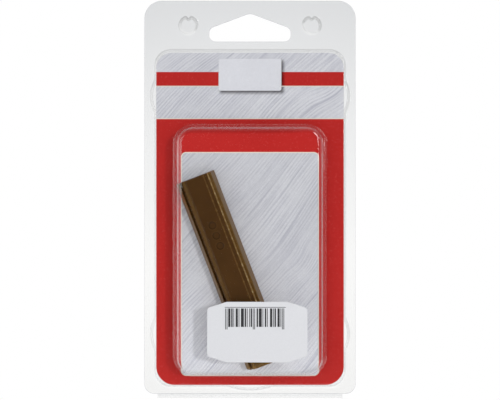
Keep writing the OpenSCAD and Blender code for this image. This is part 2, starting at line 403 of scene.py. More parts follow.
def film_shell(mesh, flange_low, walls, studs, dome=None):
    """A formed shell: flange with its hole, raised panel, studs and perhaps the dome."""
    flange_high = flange_low + SHEET
    rim = cut_edge(mesh, flange_outline(), flange_low, flange_high)
    hole = cut_edge(mesh, hole_outline(), flange_low, flange_high, hole=True)
    panel_base, dome_base = panel_outline(), dome_outline()
    panel = form(mesh, lambda inset: moved_in(panel_base, inset), walls, LOW, LOW)
    caps = [
        form(mesh, lambda inset, s=s: stud_outline(s, STUD_R - inset), studs, STUD, STUD) for s in (-1, 1)
    ]
    top = form(mesh, lambda inset: moved_in(dome_base, inset), dome, BEND, FLAT) if dome else None
    for k, front in enumerate((True, False)):
        mesh.flat([rim[k], hole[k], panel[k][0], *(c[k][0] for c in caps)], front)
        mesh.flat([panel[k][1]] + ([top[k][0]] if top else []), front)
        for c in caps:
            mesh.flat([c[k][1]], front)
        if top:
            mesh.flat([top[k][1]], front)


# Node trees


def new_material(name):
    m = bpy.data.materials.new(name)
    m.use_nodes = True
    m.node_tree.nodes.clear()
    return m, m.node_tree


def make(tree, kind, sockets=None, **props):
    """A node with its properties, and each socket set or linked."""
    n = tree.nodes.new(kind)
    for k, v in props.items():
        setattr(n, k, v)
    for k, v in (sockets or {}).items():
        if isinstance(v, bpy.types.NodeSocket):
            tree.links.new(v, n.inputs[k])
        else:
            n.inputs[k].default_value = v
    return n


def maths(tree, how, a, b=0.0, c=0.0):
    return make(tree, "ShaderNodeMath", {0: a, 1: b, 2: c}, operation=how).outputs[0]


def vectors(tree, how, a, b=(0, 0, 0), out="Vector"):
    return make(tree, "ShaderNodeVectorMath", {0: a, 1: b}, operation=how).outputs[out]


def ranged(tree, value, low, high, to_low=0.0, to_high=1.0, soft=False):
    sockets = {"Value": value, "From Min": low, "From Max": high, "To Min": to_low, "To Max": to_high}
    kind = "SMOOTHSTEP" if soft else "LINEAR"
    return make(tree, "ShaderNodeMapRange", sockets, interpolation_type=kind).outputs[0]


def mixed(tree, factor, a, b, how="MIX"):
    """Mix of two colours."""
    n = make(tree, "ShaderNodeMix", {0: factor}, data_type="RGBA", blend_type=how)
    for socket, v in ((n.inputs[6], a), (n.inputs[7], b)):
        if isinstance(v, bpy.types.NodeSocket):
            tree.links.new(v, socket)
        else:
            socket.default_value = v
    return n.outputs[2]


def cloud(tree, vector, scale, detail=2.0, rough=0.5):
    sockets = {"Vector": vector, "Scale": scale, "Detail": detail, "Roughness": rough}
    return make(tree, "ShaderNodeTexNoise", sockets).outputs["Fac"]


def bumped(tree, height, strength, distance):
    sockets = {"Height": height, "Strength": strength, "Distance": distance}
    return make(tree, "ShaderNodeBump", sockets).outputs[0]


def place(tree, turn=(0, 0, 0), size=(1, 1, 1), shift=(0, 0, 0)):
    """Place on the object, in metres, turned in degrees and stretched."""
    at = make(tree, "ShaderNodeTexCoord").outputs["Object"]
    sockets = {
        "Vector": at, "Rotation": tuple(math.radians(a) for a in turn), "Scale": size, "Location": shift
    }
    return make(tree, "ShaderNodeMapping", sockets).outputs[0]


def finish_material(tree, shader):
    make(tree, "ShaderNodeOutputMaterial", {"Surface": shader})


def height_on(tree):
    """Height on the object, in metres."""
    return make(tree, "ShaderNodeSeparateXYZ", {0: place(tree)}).outputs[2]


def srgb(r, g, b):
    """A colour given as it looks on the screen, from 0 to 255."""
    return tuple(
        c / 12.92 if c <= 0.04045 else ((c + 0.055) / 1.055) ** 2.4 for c in (r / 255, g / 255, b / 255)
    ) + (1.0,)


def film_material(name, tint, mirror, bright):
    """Clear polyester film. Seen flat it bends the view a little and has no shine, and at a slant it is a
    bare mirroring skin with a faint haze. Rays from lamps and diffuse surfaces pass it and lose what it
    mirrors. tint is what it passes at a slant, mirror scales its shine and bright adds to it at half
    slants."""
    m, t = new_material(name)
    wave = cloud(t, place(t), 60.0, 1.0)
    fine = cloud(t, place(t), 900.0, 2.0)
    flat = make(t, "ShaderNodeBsdfRefraction", {
        "Color": (0.987, 0.988, 0.989, 1.0),
        "Roughness": ranged(t, fine, 0.3, 0.7, 0.0, 0.02),
        "IOR": 1.15,
        "Normal": bumped(t, wave, 0.02, 0.002),
    }).outputs[0]
    slant = make(t, "ShaderNodeLayerWeight", {"Blend": 0.5}).outputs["Facing"]
    gloss = make(t, "ShaderNodeBsdfGlossy", {"Color": (1, 1, 1, 1), "Roughness": 0.02}).outputs[0]
    passing = ranged(t, slant, 0.68, 0.80, 0.995, tint)
    clear = make(t, "ShaderNodeBsdfTransparent", {"Color": passing}).outputs[0]
    thin = ranged(t, slant, 0.3, 0.6, soft=True)
    open_part = make(t, "ShaderNodeMixShader", {0: thin, 1: flat, 2: clear}).outputs[0]
    mirrored = maths(t, "MULTIPLY_ADD", maths(t, "POWER", slant, 9.0), 0.65 * mirror, 0.05 * mirror)
    if bright:
        bend = ranged(t, slant, 0.62, 0.84, bright, 0.0, soft=True)
        mirrored = maths(t, "MULTIPLY_ADD", bend, ranged(t, slant, 0.22, 0.52, soft=True), mirrored)
    mirrored = maths(t, "MULTIPLY", mirrored, ranged(t, slant, 0.005, 0.05))
    body = make(t, "ShaderNodeMixShader", {0: mirrored, 1: open_part, 2: gloss}).outputs[0]
    share = maths(t, "MULTIPLY_ADD", maths(t, "POWER", slant, 2.5), 0.05, 0.0005)
    seen = make(t, "ShaderNodeMixShader", {0: share, 1: body, 2: frosted(t)}).outputs[0]
    passed = ranged(t, slant, 0.50, 0.80, 0.98, 0.25, soft=True)
    finish_material(t, lit_through(t, seen, passed))
    return m


def frosted(tree):
    """Milky surface that scatters light to both sides."""
    white = (0.82, 0.83, 0.86, 1.0)
    out = make(tree, "ShaderNodeBsdfDiffuse", {"Color": white}).outputs[0]
    through = make(tree, "ShaderNodeBsdfTranslucent", {"Color": white}).outputs[0]
    return make(tree, "ShaderNodeMixShader", {0: 0.5, 1: out, 2: through}).outputs[0]


def lit_through(tree, seen, passed):
    """The shader as it is seen, and clear for rays from lamps and diffuse surfaces."""
    clear = make(tree, "ShaderNodeBsdfTransparent", {"Color": passed}).outputs[0]
    path = make(tree, "ShaderNodeLightPath")
    unseen = maths(tree, "MAXIMUM", path.outputs["Is Shadow Ray"], path.outputs["Is Diffuse Ray"])
    return make(tree, "ShaderNodeMixShader", {0: unseen, 1: seen, 2: clear}).outputs[0]


def film_edge_material():
    """Die-cut edge of the film: frosted, so that it stays pale."""
    m, t = new_material("film_edge")
    fine = cloud(t, place(t), 1800.0, 2.0)
    open_side = make(t, "ShaderNodeBsdfTransparent", {"Color": (0.97, 0.97, 0.975, 1.0)}).outputs[0]
    share = ranged(t, fine, 0.3, 0.7, 0.35, 0.6)
    seen = make(t, "ShaderNodeMixShader", {0: share, 1: open_side, 2: frosted(t)}).outputs[0]
    finish_material(t, lit_through(t, seen, (0.94, 0.94, 0.94, 1.0)))
    return m


# The print on the card, in millimetres from the card's middle and down from its top edge. WINDOW_UP is up
# from its foot.

STRIPE = (7.62, 13.08)
FIELD_TOP = 26.25
LINE = 0.32
WINDOW_HALF_W = 27.4
WINDOW_TOP = 39.27
WINDOW_UP = 3.58
WINDOW_R = 2.2
WINDOW_LINE = 0.4
PLATE_HALF_W = 12.42
PLATE = (2.36, 15.02)
PLATE_R = 0.8
# Radii of the card's corners at its foot and at its top, the steps of each, and the ease of its edges
CARD_CORNERS_R = (7.3, 6.0)
CARD_STEPS = 16
CARD_EASE = 0.04
# The printed shadow of the plate: how far it lies to the right and down, how far its full part lies inside
# the plate's outline, and how wide it fades
SHADOW_RIGHT, SHADOW_DOWN, SHADOW_IN, SHADOW_FADE = 0.7, 0.8, 0.8, 2.0
# Knots in the printed boards, in metres
KNOT = (0.0215, 0.0, -0.0995)
HEADER_KNOT = (0.031, 0.0, -0.030)
# Zones of the card, each with its own material
ON_HEADER, ON_RED, ON_LINE, ON_PLATE, ON_STOCK, ON_BOARD = range(6)

card_low, card_high = (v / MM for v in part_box("insert_card"))
CARD_TOP = card_high.z + RIDGE
CARD_FOOT = card_low.z + RIDGE


def plate_shadow(tree, colour):
    """The colour darkened by the soft printed shadow of the blank plate."""
    at = make(tree, "ShaderNodeTexCoord").outputs["Object"]
    middle_z = CARD_TOP - sum(PLATE) / 2 - SHADOW_DOWN - RIDGE
    half_w, half_h = PLATE_HALF_W - SHADOW_IN, (PLATE[1] - PLATE[0]) / 2 - SHADOW_IN
    off = vectors(tree, "SUBTRACT", at, (SHADOW_RIGHT * MM, 0, middle_z * MM))
    off = vectors(tree, "SUBTRACT", vectors(tree, "ABSOLUTE", off), (half_w * MM, 1.0, half_h * MM))
    away = vectors(tree, "LENGTH", vectors(tree, "MAXIMUM", off), out="Value")
    shade = ranged(tree, away, 0.0, SHADOW_FADE * MM, 0.95, 0.0, soft=True)
    return mixed(tree, shade, colour, (0.16, 0.15, 0.15, 1.0), "MULTIPLY")


def coated(tree, colour, rough=0.22):
    """Printed, lightly glossy card: ink mottle in its colour and gloss, and the card's faint tooth."""
    fine = cloud(tree, place(tree), 1400.0, 3.0)
    broad = cloud(tree, place(tree), 60.0, 2.0)
    speckle, drift = ranged(tree, fine, 0.3, 0.7, 0.965, 1.02), ranged(tree, broad, 0.3, 0.7, -0.015, 0.015)
    tone = maths(tree, "ADD", speckle, drift)
    inked = mixed(tree, 1.0, colour, tone, "MULTIPLY")
    return make(tree, "ShaderNodeBsdfPrincipled", {
        "Base Color": inked,
        "Roughness": ranged(tree, fine, 0.3, 0.7, rough - 0.05, rough + 0.07),
        "Specular IOR Level": 0.25,
        "Normal": bumped(tree, fine, 0.12, 0.0002),
    }).outputs[0]


def red_material():
    """Red ink, with painted light: a little lighter towards the card's foot and darker towards its top."""
    m, t = new_material("print_red")
    patch = ranged(t, cloud(t, place(t), 25.0, 1.0), 0.35, 0.65)
    base = mixed(t, patch, srgb(197, 40, 37), srgb(202, 42, 39))
    # Painted light: the ink is multiplied lighter towards the card's foot and darker towards its top.
    base = mixed(t, 1.0, base, ranged(t, height_on(t), -0.150, -0.010, 1.07, 0.93), "MULTIPLY")
    finish_material(t, coated(t, plate_shadow(t, base)))
    return m


def cream_material():
    m, t = new_material("print_cream")
    base = mixed(t, cloud(t, place(t), 300.0), srgb(232, 222, 206), srgb(240, 232, 220))
    finish_material(t, coated(t, base))
    return m


def plate_material():
    m, t = new_material("print_plate")
    base = mixed(t, cloud(t, place(t), 40.0), srgb(228, 229, 236), srgb(233, 234, 240))
    finish_material(t, coated(t, base))
    return m


def grain(tree, turn, seed, wander, knot_at, pale, bold):
    """Pale weathered board: combed lines, fine close streaks, sparse darker ones, soft bands, and a bend
    round a knot. turn is the streaks' angle in degrees, wander how far they stray in metres and bold their
    strength. seed picks the board, and pale is added to each of its colours."""
    at = place(tree, turn=(0, turn, 0), shift=(seed, 0, seed * 0.37))
    bend = maths(tree, "MULTIPLY", cloud(tree, at, 14.0, 1.0), wander)
    knot = vectors(tree, "DISTANCE", place(tree), knot_at, out="Value")
    swell = ranged(tree, knot, 0.0, 0.010, 0.0016, 0.0, soft=True)
    stray = maths(tree, "ADD", bend, swell)
    shift = make(tree, "ShaderNodeCombineXYZ", {0: 0.0, 1: 0.0, 2: stray}).outputs[0]
    bent = vectors(tree, "ADD", at, shift)
    along = make(tree, "ShaderNodeMapping", {"Vector": bent, "Scale": (0.035, 1.0, 1.0)}).outputs[0]
    combed = make(tree, "ShaderNodeTexWave", {
        "Vector": along, "Scale": 262.0, "Distortion": 5.0, "Detail": 2.0, "Detail Scale": 1.0,
    }, bands_direction="Z").outputs["Fac"]
    fade = ranged(tree, cloud(tree, at, 150.0, 2.0), 0.35, 0.65, 0.15 * bold, 0.6 * bold)
    lines = maths(tree, "MULTIPLY", ranged(tree, combed, 0.45, 1.0), fade)
    fine = cloud(tree, along, 1500.0, 2.0, 0.55)
    streak = cloud(tree, along, 420.0, 2.0, 0.5)
    broad = cloud(tree, along, 120.0, 2.0, 0.5)
    tone = cloud(tree, at, 16.0, 2.0)
    shades = ((224, 225, 230), (216, 217, 223), (172, 173, 187), (158, 159, 176))
    white, light, dark, deep = (srgb(*(v + pale for v in shade)) for shade in shades)
    base = mixed(tree, ranged(tree, tone, 0.3, 0.7), light, white)
    base = mixed(tree, ranged(tree, broad, 0.45, 0.75, 0.0, 0.2 * bold, soft=True), base, dark)
    base = mixed(tree, lines, base, dark)
    base = mixed(tree, ranged(tree, fine, 0.45, 0.68, 0.0, 0.35 * bold, soft=True), base, dark)
    return mixed(tree, ranged(tree, streak, 0.62, 0.70, 0.0, 0.5 * bold, soft=True), base, deep)


def wood_material():
    """The window's board, paler towards its foot, which is a painted reflection, and a little darker towards
    its head.
    """
    m, t = new_material("print_wood")
    high = height_on(t)
    # foot is a painted reflection that makes the board paler towards its foot; head darkens it towards its
    # head.
    foot, head = ranged(t, high, -0.144, -0.104, 1.30, 1.0), ranged(t, high, -0.105, -0.075, 0.0, -0.055)
    board = grain(t, 49.0, 0.3, 0.011, KNOT, -4, 0.7)
    finish_material(t, coated(t, mixed(t, 1.0, board, maths(t, "ADD", foot, head), "MULTIPLY")))
    return m


def header_material():
    m, t = new_material("print_header")
    board = grain(t, 41.0, 0.9, 0.026, HEADER_KNOT, 5, 0.95)
    finish_material(t, coated(t, plate_shadow(t, board)))
    return m


def stock_material():
    """Grey back and cut edges of the card."""
    m, t = new_material("card_stock")
    fibre = cloud(t, place(t, size=(1, 1, 0.3)), 2600.0, 4.0, 0.65)
    fleck = cloud(t, place(t), 700.0, 2.0)
    base = mixed(t, ranged(t, fibre, 0.3, 0.7), srgb(196, 193, 186), srgb(216, 213, 207))
    base = mixed(t, ranged(t, fleck, 0.66, 0.74, 0.0, 0.35), base, srgb(150, 146, 138))
    finish_material(t, make(t, "ShaderNodeBsdfPrincipled", {
        "Base Color": base,
        "Roughness": ranged(t, fibre, 0.3, 0.7, 0.72, 0.9),
        "Normal": bumped(t, fibre, 0.25, 0.0002),
    }).outputs[0])
    return m


def card_zone(p, window, inner, plate):
    """The print zone at a point of the card's front, from the outlines of the window, of the board inside
    its line, and of the plate."""
    down = CARD_TOP - p[1]
    if inside(p, plate):
        return ON_PLATE
    if inside(p, inner):
        return ON_BOARD
    if inside(p, window):
        return ON_LINE
    if STRIPE[0] < down < STRIPE[1] or down > FIELD_TOP:
        return ON_RED
    return ON_LINE if STRIPE[1] < down < STRIPE[1] + LINE or down > FIELD_TOP - LINE else ON_HEADER


def card():
    """Printed card, its front cut into print zones."""
    mesh = Mesh()
    x0, x1 = card_low.x, card_high.x
    back, front = -card_high.y, -card_low.y
    levels = [STRIPE[0], STRIPE[1], STRIPE[1] + LINE, FIELD_TOP - LINE, FIELD_TOP]
    sides = rounded_box(x0, x1, CARD_FOOT, CARD_TOP, CARD_CORNERS_R, CARD_STEPS)
    first = 2 * (CARD_STEPS + 1)
    right, left = ([(x, CARD_TOP - v) for v in levels] for x in (x1, x0))
    outline = sides[:first] + right[::-1] + sides[first:] + left
    rings = [
        mesh.ring(moved_in(outline, inset), height)
        for inset, height in (
            (CARD_EASE, front), (0, front - CARD_EASE), (0, back + CARD_EASE), (CARD_EASE, back)
        )
    ]
    for a, b in zip(rings, rings[1:], strict=False):
        mesh.strip(a, b, False, ON_STOCK)
    mesh.flat([rings[3]], False, ON_STOCK)
    face, last = rings[0], len(outline) - len(levels)
    lines = [(face[first + len(levels) - 1 - k], face[last + k]) for k in range(len(levels))]
    window = rounded_box(
        -WINDOW_HALF_W, WINDOW_HALF_W, CARD_FOOT + WINDOW_UP, CARD_TOP - WINDOW_TOP, WINDOW_R, 10
    )
    plate = rounded_box(-PLATE_HALF_W, PLATE_HALF_W, CARD_TOP - PLATE[1], CARD_TOP - PLATE[0], PLATE_R, 8)
    inner = moved_in(window, WINDOW_LINE)
    loops = [np.array(v) for v in (window, inner, plate)]
    plate_ring = mesh.ring(crossed(plate, [CARD_TOP - v for v in levels]), front)
    mesh.flat(
        [face, mesh.ring(window, front), mesh.ring(inner, front), plate_ring],
        pick=lambda p: card_zone(p, *loops), extra=lines,
    )
    materials = [
        header_material(), red_material(), cream_material(), plate_material(), stock_material(),
        wood_material(),
    ]
    mesh.piece("printed_card", materials, "back", "printed_card", "insert_card", sharp=30.0)


def crossed(points, levels):
    """The closed outline with points added where its sides cross these heights."""
    out = []
    for i, p in enumerate(points):
        q = points[(i + 1) % len(points)]
        out.append(p)
        hits = [v for v in levels if min(p[1], q[1]) < v < max(p[1], q[1])]
        hits.sort(reverse=q[1] < p[1])
        out += [(p[0] + (q[0] - p[0]) * (v - p[1]) / (q[1] - p[1]), v) for v in hits]
    return out


# The wax stick

# Half of its section, from the foot to the face, as shares of its half width and of its height
SECTION = [
    (0.97, 0.00), (1.00, 0.04), (0.83, 0.66), (0.80, 0.71), (0.77, 0.70), (0.745, 0.635),
    (0.70, 0.62), (0.675, 0.66), (0.665, 0.90), (0.64, 0.93), (0.475, 0.935), (0.45, 0.985), (0.42, 1.00),
]

# Radius of the arrises at its ends, how far its skin is drawn in, so that the casting's ripples stay inside
# the CAD box, how wide the dimples' slopes are, and the top of its pale scale, where painted glints are
# fully cream
END_EASE = 0.45
SKIN_IN = 0.05
MARK_SLOPE = 0.3
BRIGHTEST_GLINT = 1.6

# Pale lines along the bar's length, mostly painted highlights on its edges and ledges and partly wear on its
# flanks: place across and width as shares of its half width, strength, and the lowest height that is pale as
# a share of the bar's
WORN_AND_HIGHLIGHT_LINES = [
    (0.44, 0.03, 0.34, 0.85), (0.66, 0.030, 1.05, 0.74), (0.74, 0.05, 0.30, 0.0),
    (-0.56, 0.07, 0.26, 0.80), (-0.69, 0.05, 0.12, 0.0),
]


def wax_material():
    """Dark brown wax. The attribute on the mesh is above 0 where the wax is worn pale or painted with
    highlights, above 1 where painted glints turn it cream, and below 0 where painted shade darkens the
    dimples."""
    m, t = new_material("brown_wax")
    at = place(t)
    broad = cloud(t, at, 70.0, 3.0, 0.6)
    fine = cloud(t, at, 1500.0, 4.0, 0.7)
    wear_and_light = make(t, "ShaderNodeAttribute", attribute_name="wear_and_light", attribute_type="GEOMETRY").outputs["Fac"]
    base = mixed(t, ranged(t, broad, 0.3, 0.7), srgb(67, 43, 18), srgb(80, 53, 24))
    wear_and_highlights = maths(t, "MULTIPLY", wear_and_light, ranged(t, fine, 0.25, 0.75, 0.75, 1.1))
    # Pale where the wax is worn and where highlights are painted; past 1 it turns cream, a painted glint.
    base = mixed(t, maths(t, "MAXIMUM", wear_and_highlights, 0.0), base, srgb(151, 116, 62))
    base = mixed(t, ranged(t, wear_and_light, 1.0, BRIGHTEST_GLINT), base, srgb(214, 192, 150))
    # Painted shade: below 0 the wax is darkened in the dimples.
    base = mixed(t, 1.0, base, ranged(t, wear_and_light, -0.3, 0.0, 0.5, 1.0), "MULTIPLY")
    low = maths(t, "ADD", maths(t, "MULTIPLY", broad, 0.7), maths(t, "MULTIPLY", fine, 0.3))
    finish_material(t, make(t, "ShaderNodeBsdfPrincipled", {
        "Base Color": base,
        "Roughness": maths(t, "MULTIPLY_ADD", wear_and_light, 0.35, ranged(t, fine, 0.25, 0.75, 0.17, 0.28)),
        "IOR": 1.3,
        "Specular IOR Level": 0.38,
        "Subsurface Weight": 0.08,
        "Subsurface Radius": (0.6, 0.35, 0.2),
        "Subsurface Scale": 0.0015,
        "Normal": bumped(t, low, 0.35, 0.0003),
    }).outputs[0])
    return m


def ramp(value, low, span):
    """How far the value is from low to low + span, from 0 to 1."""
    return min(max((value - low) / span, 0), 1)


def stick_section():
    """Points round the stick's section, its corners eased, and the normals there."""
    right = [(x * STICK_W / 2, y * STICK_H) for x, y in SECTION]
    fine = np.array(dense(right + [(-x, y) for x, y in reversed(right)], 0.2))
    for _ in range(3):
        fine = (np.roll(fine, 1, 0) + 2 * fine + np.roll(fine, -1, 0)) / 4
    return fine, normals(fine)


def stick_stations():
    """Places along the stick, closer at the dimples, and how far its section is drawn in at each."""
    half = STICK_L / 2
    ends = [
        (END_EASE * (1 - math.cos(a)), END_EASE - END_EASE * math.sin(a))
        for a in np.radians(np.linspace(0, 90, 5))
    ]
    middle = np.linspace(-half + END_EASE, half - END_EASE, 190)[1:-1]
    marks, near = half - MARK_FROM_END, MARK_PITCH + MARK_R + 0.3
    middle = np.concatenate([
        middle[middle < marks - near - 0.1], np.arange(marks - near, marks + near, 0.15),
        middle[middle > marks + near + 0.1],
    ])
    stations = [(-half + d, inset) for d, inset in ends] + [(v, 0.0) for v in middle]
    return stations + [(half - d, inset) for d, inset in reversed(ends)]


def skin_point(x, h, n, along, inset):
    """Place across, along and out on the stick's skin, with drafted ends and the casting's soft ripples."""
    px, ph = x - n[0] * inset, h - n[1] * inset
    py = along * (1 - STICK_END_DRAFT / (STICK_L / 2) * ph / STICK_H)
    ripple = noise.noise(Vector((px * 0.22, py * 0.09, ph * 0.3))) * 0.05
    ripple += noise.noise(Vector((px * 0.9, py * 1.1, ph * 0.9))) * 0.012
    return px - n[0] * (SKIN_IN + ripple), py, ph - n[1] * (SKIN_IN + ripple)


def dimpled(x, y):
    """How deep the face is pressed in at the three dimples, and the painted light at them: a faint painted
    highlight round each rim and painted shade just inside it.
    """
    deep = rim = 0.0
    for k in (-1, 0, 1):
        r = math.hypot(x, y - (STICK_L / 2 - MARK_FROM_END + k * MARK_PITCH))
        f = ramp(MARK_R - r, 0, MARK_SLOPE)
        deep += MARK_DEPTH * f * f * (3 - 2 * f)
        # Painted highlight just outside the rim, painted shade on the slope inside it.
        rim += 0.10 * math.exp(-((r - MARK_R - 0.15) / 0.2) ** 2)
        rim -= 0.30 * math.exp(-((r - MARK_R + 0.2) / 0.2) ** 2)
    return deep, rim


def wear_and_highlights(x, h, along):
    """How pale the stick is on its flanks, where the wax is worn and the right flank is painted paler where
    the key light falls, along its lines of painted highlight, with glints dashed on the right, and at its
    lower end. x and h are shares of its half width and height."""
    # The right flank's painted light starts further in, over the wall that faces the key.
    pale = 0.42 * ramp(abs(x), 0.64 if x > 0 else 0.775, 0.03)
    for spot, wide, much, least in WORN_AND_HIGHLIGHT_LINES:
        # On the right the painted highlights break into dashes, as glints.
        glint_dash = 0.7 + 1.8 * max(noise.noise(Vector((spot * 9, along * 0.8, 0))), 0) if spot > 0 else 1
        pale += much * glint_dash * ramp(h, least, 0.05) * math.exp(-((x - spot) / wide) ** 2)
    return pale + 0.5 * ramp(4.0 - STICK_L / 2 - along, 0, 3.0)


def wax():
    """Cast bar on a dense grid: its stepped section, eased arrises, drafted ends and three dimples."""
    low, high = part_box("wax_stick")
    centre, back = (low + high) / 2 / MM, -high.y / MM
    cos, sin = math.cos(math.radians(STICK_LEAN)), math.sin(math.radians(STICK_LEAN))
    fine, side = stick_section()
    mesh = Mesh()
    rows, wear_and_light = [], []
    for along, inset in stick_stations():
        row = []
        for (x, h), n in zip(fine, side, strict=True):
            px, py, ph = skin_point(x, h, n, along, inset)
            deep, rim = dimpled(px, py) if ph > STICK_H * 0.9 else (0.0, 0.0)
            # The dimples' painted highlight and shade join the wear and painted highlights.
            wear_and_light.append(min(wear_and_highlights(x / (STICK_W / 2), h / STICK_H, along) + rim, BRIGHTEST_GLINT))
            row.append(len(mesh.points))
            mesh.points.append((
                px * cos - py * sin + centre.x, px * sin + py * cos + centre.z + RIDGE,
                max(ph - deep, 0.0) + back,
            ))
        rows.append(row)
    for a, b in zip(rows, rows[1:], strict=False):
        mesh.strip(b, a, False)
    for row, front in ((rows[0], False), (rows[-1], True)):
        flat = [Vector(p) for p in fine]
        n = len(row)
        edges = [(i, (i + 1) % n) for i in range(n)]
        _, _, faces, origin, _, _ = delaunay_2d_cdt(flat, edges, [], 1, 1e-6)
        for f in faces:
            mesh.add([row[origin[k][0]] for k in f], not front)
    piece = mesh.piece("wax_bar", [wax_material()], "stick", "wax", "wax_stick", sharp=60.0)
    layer = piece.data.attributes.new("wear_and_light", "FLOAT", "POINT")
    layer.data.foreach_set("value", wear_and_light)


# The price label

# A plain pattern that stands for a bar code: bars and the gaps after them, in shares of the finest bar,
# and which bars are long
BAR = 0.286
BARS = [1, 1, 3, 2, 1, 3, 1, 4, 2, 1, 1, 2, 1, 1, 2, 4, 1, 2, 1, 3, 1, 2, 3, 1, 1, 1]
GAPS = [1, 1, 1, 1, 2, 1, 2, 1, 1, 2, 1, 1, 1, 2, 1, 1, 2, 1, 3, 1, 1, 2, 1, 1, 1, 0]
LONG_BARS = (0, 1, 12, 13, 24, 25)
# Places of the bars and of the rule over them, from the label's middle
BARS_FROM = -12.3
BARS_FOOT, LONG_FOOT, BARS_TOP = 2.0, 1.05, 9.1
RULE = (-12.5, 10.9, 9.4, 9.62)
LABEL_EASE = 0.02


def label_material(name, colour, rough):
    m, t = new_material(name)
    fibre = cloud(t, place(t), 2400.0, 4.0, 0.6)
    base = mixed(t, ranged(t, fibre, 0.3, 0.7), tuple(c * 0.96 for c in colour[:3]) + (1,), colour)
    finish_material(t, make(t, "ShaderNodeBsdfPrincipled", {
        "Base Color": base,
        "Roughness": ranged(t, fibre, 0.3, 0.7, rough - 0.05, rough + 0.08),
        "Normal": bumped(t, fibre, 0.08, 0.0002),
    }).outputs[0])
    return m


def bar_loops(cx, cy):
    """Corners of each bar and of the rule, round the label's middle."""
    boxes, x = [], BARS_FROM
    for k, (wide, gap) in enumerate(zip(BARS, GAPS, strict=True)):
        boxes.append((x, x + wide * BAR, LONG_FOOT if k in LONG_BARS else BARS_FOOT, BARS_TOP))
        x += (wide + gap) * BAR
    boxes.append(RULE)
    return [
        [(cx + a, cy + c), (cx + b, cy + c), (cx + b, cy + d), (cx + a, cy + d)] for a, b, c, d in boxes
    ]


def label():
    """Paper label with cut corners and a plain pattern of bars."""
    low, high = (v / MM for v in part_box("price_label"))
    cx, cy = (low.x + high.x) / 2, (low.z + high.z) / 2 + RIDGE
    half_w, half_h = (high.x - low.x) / 2, (high.z - low.z) / 2
    back, front = -high.y, -low.y
    r = LABEL_CORNER_R
    ex, ey = half_w - r, half_h - LABEL_CUT - r
    dx, dy = LABEL_FLAT_W / 2 - ex, half_h - ey
    turn = math.degrees(math.atan2(dy, dx) - math.acos(r / math.hypot(dx, dy)))
    quarter = arc(ex, ey, r, 0, turn, 6) + [(LABEL_FLAT_W / 2, half_h)]
    upper = quarter + [(-x, y) for x, y in reversed(quarter)]
    outline = tidy(upper + [(-x, -y) for x, y in upper])
    outline = dense([(x + cx, y + cy) for x, y in outline], 2.0)
    mesh = Mesh()
    rings = [
        mesh.ring(moved_in(outline, inset), height)
        for inset, height in ((LABEL_EASE, front), (0, front - LABEL_EASE), (0, back))
    ]
    for a, b in zip(rings, rings[1:], strict=False):
        mesh.strip(a, b, False)
    mesh.flat([rings[2]], False)
    loops = bar_loops(cx, cy)
    closed = [np.array(v) for v in loops]
    mesh.flat(
        [rings[0]] + [mesh.ring(v, front) for v in loops],
        pick=lambda p: int(any(inside(p, v) for v in closed)),
    )
    paper = label_material("label_paper", srgb(220, 221, 225), 0.5)
    ink = label_material("label_ink", srgb(32, 32, 36), 0.45)
    mesh.piece("price_label_paper", [paper, ink], "cover", "label_paper", "price_label", sharp=30.0)


# The clear film

# Gaps between the cover's flange and the plane where the flanges meet, between the back's plug and the card,
# and between the hinge's web and the back's flange
FLANGE_GAP = 0.02
PLUG_GAP = 0.06
WEB_GAP = 0.02
# How far the hinge's bead is rolled in degrees, and the share of its thickness that is drawn, so that it
# stays inside its solid
ROLL = 330
HINGE_SHARE = 0.98


def hinge(film):
    """Rolled bead and web of the living hinge, as one closed strip."""
    mesh = Mesh()
    mid = BEAD_R - SHEET / 2
    line = [(FLANGE_Y - WEB_GAP, -SHEET / 2)] + [
        (BEAD_R + mid * math.sin(a), -mid * math.cos(a)) for a in np.radians(np.linspace(0, -ROLL, 23))
    ]
    p = np.array(line)
    d = np.gradient(p, axis=0)
    n = np.stack([-d[:, 1], d[:, 0]], 1)
    n /= np.linalg.norm(n, axis=1)[:, None]
    half_sheet = SHEET / 2 * HINGE_SHARE
    loop = np.vstack([p + n * half_sheet, (p - n * half_sheet)[::-1]])
    columns = np.linspace(-HINGE_W / 2, HINGE_W / 2, 25)
    rows = []
    for x in columns:
        start = len(mesh.points)
        mesh.points += [(x, y, h) for y, h in loop]
        rows.append(list(range(start, len(mesh.points))))
    for a, b in zip(rows, rows[1:], strict=False):
        mesh.strip(a, b)
    half = len(p)
    for row, front in ((rows[0], False), (rows[-1], True)):
        for i in range(half - 1):
            j = 2 * half - 1 - i
            mesh.add((row[i], row[i + 1], row[j - 1], row[j]), front)
    mesh.piece("hinge_film", film[:1], "back", "clear_film", "living_hinge")


